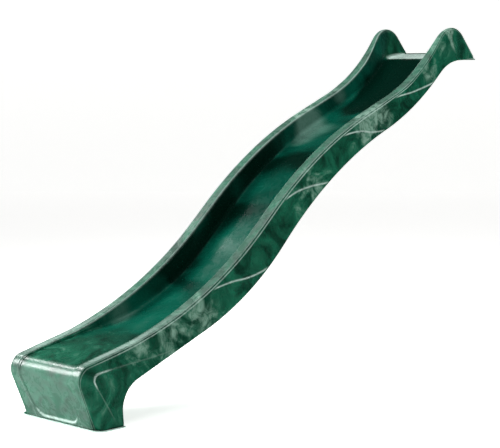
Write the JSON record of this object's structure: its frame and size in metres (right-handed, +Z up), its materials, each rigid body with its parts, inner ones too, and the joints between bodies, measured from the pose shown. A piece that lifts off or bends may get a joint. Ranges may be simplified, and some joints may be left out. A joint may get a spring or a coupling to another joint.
{
  "type": "wave slide",
  "caption": "Twin-wall plastic wave slide with rolled side rims, grab ears, a box foot and a screw-down flange that lies on a platform's edge.",
  "frame": {"origin": "midway between the two screw holes in the deck flange, on the flange's underside, which is the platform's top", "axes": "+Y uphill towards the platform, X across the slide, +Z up; the ground is at Z = -1.5 m"},
  "size_m": [0.514, 2.6853, 1.6611],
  "materials": {
    "upper_skin": "moulded, satin, marbled",
    "lower_skin": "moulded, satin, marbled",
    "flange": "moulded, satin, marbled"
  },
  "bodies": {
    "root": {"foot_base": "lower_skin", "foot_front": "upper_skin", "slide_bed": "upper_skin", "deck_seat": "upper_skin", "left_rail": "upper_skin", "right_rail": "upper_skin", "belly_skin": "lower_skin", "deck_flange": "flange", "tack_off_posts": "lower_skin"}
  },
  "joints": []
}
